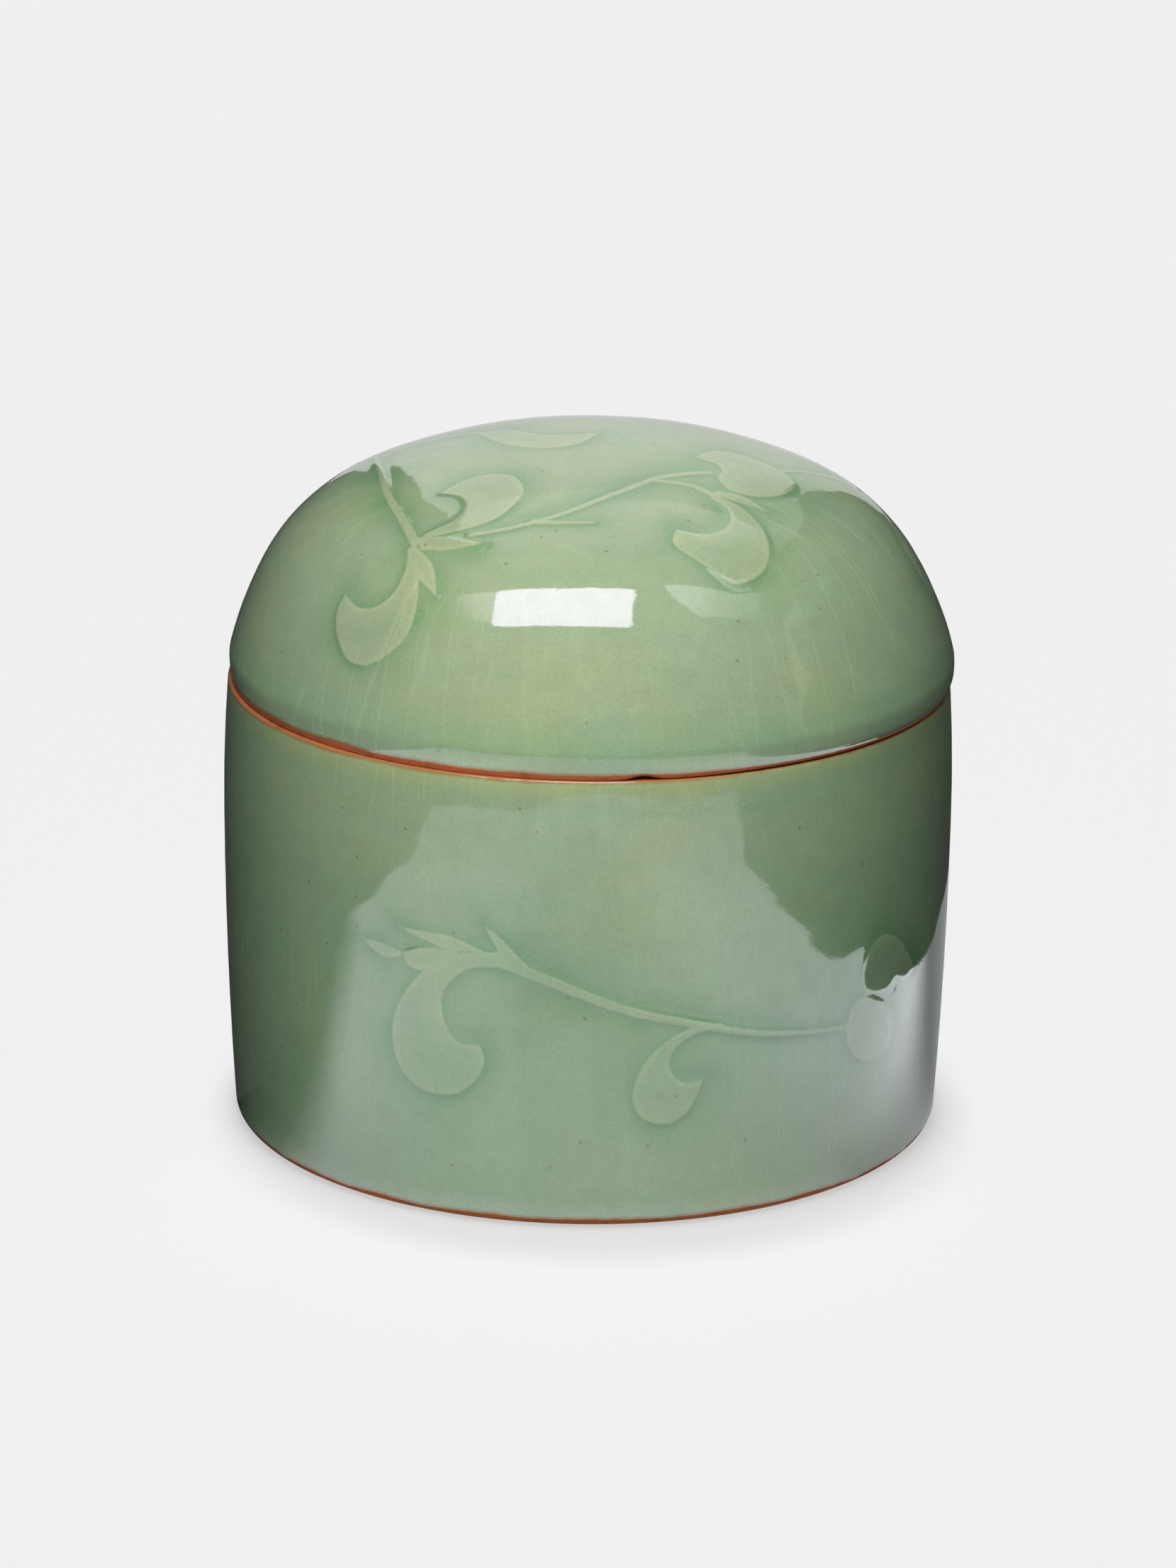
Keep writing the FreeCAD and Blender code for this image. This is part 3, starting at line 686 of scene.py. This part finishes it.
class Shader:
    """A short way to write a node tree: each call adds a node and returns its first output."""

    def __init__(self, name):
        self.material = bpy.data.materials.new(name)
        self.material.use_nodes = True
        self.tree = self.material.node_tree
        self.tree.nodes.clear()

    def node(self, kind, inputs=(), out=0, **settings):
        made = self.tree.nodes.new("ShaderNode" + kind)
        for key, value in settings.items():
            setattr(made, key, value)
        for key, value in dict(inputs).items():
            if isinstance(value, bpy.types.NodeSocket):
                self.tree.links.new(value, made.inputs[key])
            else:
                made.inputs[key].default_value = value
        return made.outputs[out]

    def attribute(self, name, out="Fac"):
        return self.node("Attribute", out=out, attribute_name=name)

    def noise(self, vector, scale, detail=2, roughness=0.5, out=0):
        inputs = {"Vector": vector, "Scale": scale, "Detail": detail, "Roughness": roughness}
        return self.node("TexNoise", inputs, out=out)

    def stretch(self, vector, scale):
        return self.node("VectorMath", {0: vector, 1: scale}, operation="MULTIPLY")

    def axis(self, vector, name):
        return self.node("SeparateXYZ", {0: vector}, out=name)

    def math(self, operation, first, second=0.0, clamp=False):
        return self.node("Math", {0: first, 1: second}, operation=operation, use_clamp=clamp)

    def multiply_add(self, value, factor, added):
        return self.node("Math", {0: value, 1: factor, 2: added}, operation="MULTIPLY_ADD")

    def span(self, value, low, high, to_low=0.0, to_high=1.0):
        """Maps low..high to to_low..to_high with a smooth step."""
        inputs = {"Value": value, "From Min": low, "From Max": high, "To Min": to_low, "To Max": to_high}
        return self.node("MapRange", inputs, interpolation_type="SMOOTHSTEP")

    def mix(self, factor, first, second, blend="MIX"):
        """Mixes two colours."""
        made = self.tree.nodes.new("ShaderNodeMix")
        made.data_type = "RGBA"
        made.blend_type = blend
        for socket, value in ((made.inputs[0], factor), (made.inputs[6], first), (made.inputs[7], second)):
            if isinstance(value, bpy.types.NodeSocket):
                self.tree.links.new(value, socket)
            else:
                socket.default_value = value
        return made.outputs[2]

    def tint(self, factor, colour, tint):
        """Multiplies a colour by a tint, as far as the factor says."""
        return self.mix(factor, colour, tint, "MULTIPLY")

    def finish(self, surface):
        output = self.tree.nodes.new("ShaderNodeOutputMaterial")
        self.tree.links.new(surface, output.inputs["Surface"])
        return self.material


def mottled_glaze(s, place, flow, low):
    """The glaze's colour: warm patches, greener bands and low parts, painted shade that turns the sides
    greener, and fine grain.
    """
    colour = s.tint(s.span(s.noise(place, 55, 3), 0.38, 0.68), GLAZE, TINT_WARM)
    banding = s.noise(s.stretch(flow, (0.015, 0.015, 0.3)), 1, 3)
    # The low attribute carries the low parts and the painted shade at the sides.
    greener = s.multiply_add(s.span(banding, 0.35, 0.7), 0.2, low)
    colour = s.tint(greener, colour, TINT_LOW_AND_SIDE_SHADE)
    for scale, detail, contrast in GRAIN:
        tone = s.span(s.noise(place, scale, detail, 0.65), 0.2, 0.8, 1 - contrast / 2, 1 + contrast / 2)
        colour = s.tint(1.0, colour, s.node("CombineColor", {0: tone, 1: tone, 2: tone}))
    return colour


def pool_glaze(s, colour, place, motif):
    """Glaze pools green in the carving beside the motif, and runs thin and pale on its edges."""
    beside = s.span(s.multiply_add(s.noise(place, 500, 2), 0.35, motif), 0.13, 0.42)
    reach = s.span(s.noise(place, 110, 2), 0.3, 0.7, 1.6, 4.2)
    fade = s.math("EXPONENT", s.math("DIVIDE", s.math("MULTIPLY", motif, -1.0), reach))
    uneven = s.span(s.noise(place, 150, 2), 0.3, 0.7, 0.6, 1.0)
    pooled = s.math("MULTIPLY", s.math("MULTIPLY", beside, fade, clamp=True), uneven)
    colour = s.tint(pooled, colour, TINT_POOLED)
    on_leaf = s.span(motif, -0.15, 0.1, 1, 0)
    edge = s.math("MULTIPLY", on_leaf, s.span(motif, -1.1, -0.3))
    middle = s.math("MULTIPLY", on_leaf, s.span(motif, -4.5, -1.6, 0.16, 0.0))
    colour = s.tint(edge, colour, TINT_LEAF_EDGE)
    return s.tint(middle, colour, TINT_POOLED)


def add_crazing(s, colour, place, flow):
    """Fine craze lines that run up the wall, clearest at the sides and on the lid."""
    stray = s.stretch(s.noise(place, 60, 2, out="Color"), (3.0, 3.0, 0.5))
    cells = s.node("VectorMath", {0: flow, 1: stray}, operation="ADD")
    cells = s.stretch(cells, (0.15, 0.15, 0.009))
    gap = s.node("TexVoronoi", {"Vector": cells, "Scale": 1.0}, out="Distance", feature="DISTANCE_TO_EDGE")
    crack = s.math("MULTIPLY", s.span(gap, 0.004, 0.03, 1, 0), s.span(s.noise(place, 26, 1), 0.4, 0.6))
    aside = s.math("ABSOLUTE", s.axis(place, "X"))
    crack = s.math("MULTIPLY", crack, s.span(aside, 0.012, 0.042, 0.3, 1.0))
    crack = s.math("MULTIPLY", crack, s.span(s.axis(place, "Z"), 0.055, 0.068, 0.5, 1.0))
    return s.tint(crack, colour, TINT_CRAZE)


def add_specks(s, colour, place):
    """Iron specks of two sizes, in a few of the cells of each pattern."""
    for scale, radius, share, strength in SPECKS:
        spots = s.node("TexVoronoi", {"Vector": place, "Scale": scale}, feature="F1")
        cell = s.node("SeparateColor", {0: spots.node.outputs["Color"]})
        few = s.span(cell, share, share + 0.01)
        speck = s.math("MULTIPLY", s.span(spots, radius / 2, radius, strength, 0), few)
        colour = s.mix(speck, colour, IRON)
    return colour


def clay_colour(s, place, fired):
    """Bare clay, redder the harder it is fired, with dark grains."""
    clay = s.mix(s.span(fired, 0.2, 0.5), CLAY, CLAY_RIM)
    clay = s.mix(s.span(fired, 0.5, 1.0), clay, CLAY_FIRED)
    grains = s.span(s.noise(place, 240, 4, 0.7), 0.45, 0.75, 0, 0.6)
    return s.mix(grains, clay, CLAY_DARK)


def fine_relief(s, place, bare):
    """The glaze's slow swell, orange peel and pits, and grit where the clay is bare."""
    swell = s.noise(s.stretch(place, (1, 1, 0.4)), 110, 2)
    orange_peel = s.multiply_add(s.noise(place, 520, 2), 0.12, swell)
    relief = s.multiply_add(s.noise(place, 2600, 2), 0.05, orange_peel)
    skin = s.node("Bump", {"Strength": 0.1, "Distance": 0.0006, "Height": relief})
    roughened = s.math("MULTIPLY", bare, 0.5)
    grit = {"Strength": roughened, "Distance": 0.0002, "Height": s.noise(place, 3200, 3, 0.7)}
    return s.node("Bump", {**grit, "Normal": skin})


def celadon(name):
    """Celadon glaze on stoneware: it stops at a burnt line, and past that the clay shows."""
    s = Shader(name)
    place = s.node("TexCoord", out="Object")
    flow = s.attribute("flow", "Vector")
    motif, low, fired, glazed = (s.attribute(key) for key in ("motif", "low", "fired", "glazed"))
    colour = mottled_glaze(s, place, flow, low)
    colour = pool_glaze(s, colour, place, motif)
    colour = add_crazing(s, colour, place, flow)
    colour = add_specks(s, colour, place)

    # The glaze thins towards its edges; by the foot the pale tint there also paints the light bounced up from
    # the floor.
    thin = s.span(glazed, 0.2, 3.6, 1, 0)
    colour = s.tint(thin, colour, s.mix(s.span(fired, 0.45, 0.6), TINT_THIN, TINT_THIN_PALE_AND_BOUNCE))
    ragged = s.multiply_add(s.noise(place, 900, 3, 0.7), 0.35, glazed)
    colour = s.mix(s.span(ragged, 0.1, 0.75, 0.8, 0), colour, BURNT)
    bare = s.span(ragged, 0.0, 0.25, 1, 0)
    colour = s.mix(bare, colour, clay_colour(s, place, fired))

    gloss = s.span(bare, 0.1, 0.9, 0.035, 0.9)
    skin = fine_relief(s, place, bare)
    look = {"Base Color": colour, "Roughness": gloss, "Normal": skin, "IOR": 1.5}
    return s.finish(s.node("BsdfPrincipled", look))


# --- Stage ----------------------------------------------------------------------------------------------

CAMERA_BACK = 0.847
CAMERA_UP = 0.3232
CAMERA_PITCH = 17.82
CAMERA_ROLL = 0.61
LENS = 133.65


def plate(name, corners, material):
    """A flat polygon through the given corners, in metres."""
    mesh = bpy.data.meshes.new(name)
    mesh.from_pydata(corners, [], [list(range(len(corners)))])
    mesh.materials.append(material)
    thing = bpy.data.objects.new(name, mesh)
    bpy.context.scene.collection.objects.link(thing)
    return thing


def only_reflected(thing):
    """A card that shows in reflections and nowhere else."""
    thing.visible_camera = False
    thing.visible_diffuse = False
    thing.visible_shadow = False
    thing.visible_transmission = False
    thing.visible_volume_scatter = False
    return thing


def glowing(name, colour, strength):
    s = Shader(name)
    return s.finish(s.node("Emission", {"Color": (*colour, 1), "Strength": strength}))


# Light on the floor, as parts of its full brightness: a lamp overhead gives the close shadow at the foot, one
# a little behind gives the shadow in front, and the rest is a glow of the floor's own.
FLOOR_BRIGHTNESS = 0.845
CLOSE_SHADOW = 0.17
FRONT_SHADOW = 0.18
FLOOR_ALBEDO = 0.5
FLOOR_HALF = 8.0
# Light from the room all round, which the dark parts of the reflections show.
ROOM_LIGHT = 0.04


def make_floor():
    """A pale floor of one even grey, apart from the shadow at the foot."""
    s = Shader("floor_paper")
    lit = s.node("BsdfDiffuse", {"Color": (FLOOR_ALBEDO, FLOOR_ALBEDO, FLOOR_ALBEDO, 1)})
    strength = FLOOR_BRIGHTNESS * (1 - CLOSE_SHADOW - FRONT_SHADOW)
    glow = s.node("Emission", {"Color": (1, 1, 1, 1), "Strength": strength})
    material = s.finish(s.node("AddShader", {0: lit, 1: glow}))
    half = FLOOR_HALF
    floor = plate("floor", [(-half, -half, 0), (half, -half, 0), (half, half, 0), (-half, half, 0)], material)
    floor.visible_diffuse = False
    floor.visible_glossy = False
    return floor


# What the glaze mirrors, in metres: the bright part of the table in front, the pale ground, wall and ceiling
# behind, and the overhead softboxes. Between these it mirrors the dark room. The table, the ground and the
# softboxes are level, drawn as x and y, the wall is x and z at its y, and the ceiling is x, y and z.
CARD_HEIGHT = 0.0004
TABLE = (
    (-0.058, -0.005), (-0.120, -0.018), (-0.140, -0.041), (-0.154, -0.062), (-0.162, -0.087),
    (-0.176, -0.130), (-0.181, -0.156), (-0.203, -0.188), (-0.250, -0.250), (-0.244, -0.300),
    (0.0, -0.420), (0.252, -0.282), (0.245, -0.256), (0.200, -0.205), (0.174, -0.177), (0.163, -0.146),
    (0.153, -0.112), (0.142, -0.072), (0.134, -0.053), (0.139, -0.020), (0.123, -0.026), (0.113, -0.015),
    (0.115, 0.006), (0.111, 0.030), (0.105, 0.050), (0.097, 0.080), (0.070, 0.120), (0.020, 0.040),
    (-0.030, 0.0),
)
GROUND_BEHIND = ((-0.05, 0.42), (0.05, 0.42), (0.285, 1.0), (-0.20, 1.0))
WALL_PLACE = 1.0
WALL = (
    (-0.20, 0), (0.285, 0), (0.30, 0.25), (0.335, 0.6), (0.68, 1.1), (-0.40, 1.1), (-0.36, 0.8),
    (-0.285, 0.5), (-0.24, 0.3), (-0.21, 0.15),
)
CEILING = ((-0.38, 1.0, 1.1), (0.72, 1.0, 1.1), (0.60, 0.1, 1.3), (-0.38, 0.1, 1.3))
SOFTBOX_HEIGHT = 0.59
SOFTBOX = ((-0.305, -0.347), (0.116, -0.366), (0.091, -0.107), (-0.205, -0.105))
SOFTBOX_SPILL = ((-0.290, -0.300), (-0.206, -0.106), (-0.34, -0.09), (-0.44, -0.28))
SIDE_SOFTBOX = ((0.303, -0.238), (0.508, -0.171), (0.38, 0.022), (0.146, -0.067), (0.20, -0.16))


def lit_table():
    """The table as the glaze mirrors it: brighter near the object and beside it, dark in its shadow."""
    s = Shader("bright_table")
    place = s.node("TexCoord", out="Object")
    right = s.axis(place, "X")
    front = s.math("MULTIPLY", s.axis(place, "Y"), -1.0)
    away = s.node("VectorMath", {0: place}, out="Value", operation="LENGTH")
    beside = s.math("MULTIPLY", s.span(right, 0, 0.1, 1.0, 1.2), s.span(away, 0.18, 0.3, 1.2, 0.1))
    beside = s.math("MULTIPLY", beside, s.span(s.math("ABSOLUTE", right), 0.03, 0.1))
    strength = s.math("ADD", s.span(away, 0.09, 0.19, 2.3, 1.3), beside)

    shaded_right = s.math("POWER", s.span(s.math("ADD", right, front), 0.048, 0.098), 1.5)
    shaded_right = s.multiply_add(shaded_right, 0.88, 0.12)
    shaded_right = s.math("MAXIMUM", shaded_right, s.span(front, 0.02, 0.045))
    shaded_left = s.span(s.multiply_add(right, 0.38, front), -0.0089, 0.0241)
    shaded_left = s.math("MAXIMUM", shaded_left, s.span(right, -0.05, -0.02))
    strength = s.math("MULTIPLY", strength, s.math("MULTIPLY", shaded_right, shaded_left))
    return s.finish(s.node("Emission", {"Color": (0.97, 1.0, 1.05, 1), "Strength": strength}))


def fading(name, *fades):
    """A glow that changes along one axis or two: a fade is an axis, two places on it and the glow at each."""
    s = Shader(name)
    place = s.node("TexCoord", out="Object")
    strength = 1.0
    for axis, low, high, glow_low, glow_high in fades:
        glow = s.span(s.axis(place, axis), low, high, glow_low, glow_high)
        strength = s.math("MULTIPLY", glow, strength)
    return s.finish(s.node("Emission", {"Color": (1, 1, 1, 1), "Strength": strength}))


def level(points, height):
    return [(x, y, height) for x, y in points]


def make_cards():
    pale = glowing("pale_ground", (1.0, 1.0, 1.0), 0.68)
    wall = fading("white_wall", ("Z", 0.0, 0.6, 0.68, 1.2), ("X", 0.22, 0.42, 1.0, 0.4))
    box = glowing("softbox", (1.0, 0.87, 1.14), 12.0)
    side_box = fading("side_softbox", ("X", 0.16, 0.46, 3.6, 0.7))
    spill = fading("softbox_spill", ("X", -0.42, -0.25, 0.0, 3.0))
    ceiling = fading("lit_ceiling", ("Y", 0.1, 1.0, 0.3, 1.6), ("X", 0.25, 0.85, 1.0, 0.2))
    cards = (
        ("ground_card", level(GROUND_BEHIND, CARD_HEIGHT), pale),
        ("table_card", level(TABLE, CARD_HEIGHT), lit_table()),
        ("wall_card", [(x, WALL_PLACE, z) for x, z in WALL], wall),
        ("ceiling_card", CEILING, ceiling),
        ("softbox_card", level(SOFTBOX, SOFTBOX_HEIGHT), box),
        ("side_card", level(SIDE_SOFTBOX, SOFTBOX_HEIGHT), side_box),
        ("spill_card", level(SOFTBOX_SPILL, SOFTBOX_HEIGHT), spill),
    )
    for name, corners, material in cards:
        only_reflected(plate(name, corners, material))


def hang(name, data, towards, collection):
    """Puts a lamp in the scene, turned to shine along -towards, for one collection only."""
    lamp = bpy.data.objects.new(name, data)
    lamp.rotation_euler = Vector(towards).to_track_quat("Z", "Y").to_euler()
    lamp.visible_glossy = False
    lamp.visible_camera = False
    lamp.light_linking.receiver_collection = collection
    bpy.context.scene.collection.objects.link(lamp)
    return lamp


# Softboxes for the pieces: place and size in metres, power in watts.
PANEL_AIM = (0, 0, 0.055)
PANELS = (
    ("key", (-0.036, -0.31, 0.47), 0.25, 1.98),
    ("table_bounce", (-0.03, -0.34, 0.03), 0.15, 0.3),
    ("top", (0.02, 0.03, 0.6), 0.28, 0.56),
    ("back", (0.05, 0.48, 0.12), 0.3, 0.9),
    ("side", (0.42, 0.16, 0.05), 0.3, 0.12),
)


def panel(name, place, size, power, collection):
    """A square softbox that faces the object."""
    data = bpy.data.lights.new(name, "AREA")
    data.size = size
    data.energy = power
    lamp = hang(name, data, Vector(place) - Vector(PANEL_AIM), collection)
    lamp.location = place
    return lamp


def sun(name, lean, spread, radiance, collection):
    """A distant lamp almost overhead, for the floor; radiance is what it adds there."""
    data = bpy.data.lights.new(name, "SUN")
    data.angle = math.radians(spread)
    towards = Vector((*lean, 1)).normalized()
    data.energy = radiance * math.pi / FLOOR_ALBEDO / towards.z
    return hang(name, data, towards, collection)


def collect(name, things):
    """A collection for light linking, next to the scene's own."""
    collection = bpy.data.collections.new(name)
    for thing in things:
        collection.objects.link(thing)
    return collection


def make_lights(pieces, floor):
    """Panels that light the pieces, and two distant lamps that light the floor."""
    on_pieces = collect("pieces", pieces)
    on_floor = collect("ground", [floor])
    for name, place, size, power in PANELS:
        panel(name, place, size, power, on_pieces)
    sun("close_shadow", (-0.012, -0.03), 8, FLOOR_BRIGHTNESS * CLOSE_SHADOW, on_floor)
    sun("front_shadow", (-0.01, 0.15), 9, FLOOR_BRIGHTNESS * FRONT_SHADOW, on_floor)


def make_world():
    """A dim room all round, which the camera sees as bright as the floor."""
    world = bpy.data.worlds.new("studio")
    bpy.context.scene.world = world
    world.use_nodes = True
    tree = world.node_tree
    background = tree.nodes["Background"]
    background.inputs["Color"].default_value = (1, 1, 1, 1)
    rays = tree.nodes.new("ShaderNodeLightPath")
    strength = tree.nodes.new("ShaderNodeMapRange")
    strength.inputs["To Min"].default_value = ROOM_LIGHT
    strength.inputs["To Max"].default_value = FLOOR_BRIGHTNESS
    tree.links.new(rays.outputs["Is Camera Ray"], strength.inputs["Value"])
    tree.links.new(strength.outputs[0], background.inputs["Strength"])


def make_camera():
    data = bpy.data.cameras.new("camera")
    data.sensor_width = 36
    data.lens = LENS
    camera = bpy.data.objects.new("camera", data)
    place = Matrix.Translation((0, -CAMERA_BACK, CAMERA_UP))
    pitch = Matrix.Rotation(math.radians(90 - CAMERA_PITCH), 4, "X")
    roll = Matrix.Rotation(math.radians(CAMERA_ROLL), 4, "Z")
    camera.matrix_world = place @ pitch @ roll
    bpy.context.scene.collection.objects.link(camera)
    bpy.context.scene.camera = camera


# --- Everything -----------------------------------------------------------------------------------------

glaze = celadon("celadon_glaze")
pieces = []
for node, section, shape in (("bowl", bowl_section(), bowl_shape), ("lid", lid_section(), lid_shape)):
    piece = make_piece(node + "_shell", section, shape)
    piece.data.materials.append(glaze)
    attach(piece, node)
    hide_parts(node)
    pieces.append(piece)

make_cards()
make_lights(pieces, make_floor())
make_world()
make_camera()
scene = bpy.context.scene
scene.view_settings.view_transform = "Standard"
scene.view_settings.look = "None"
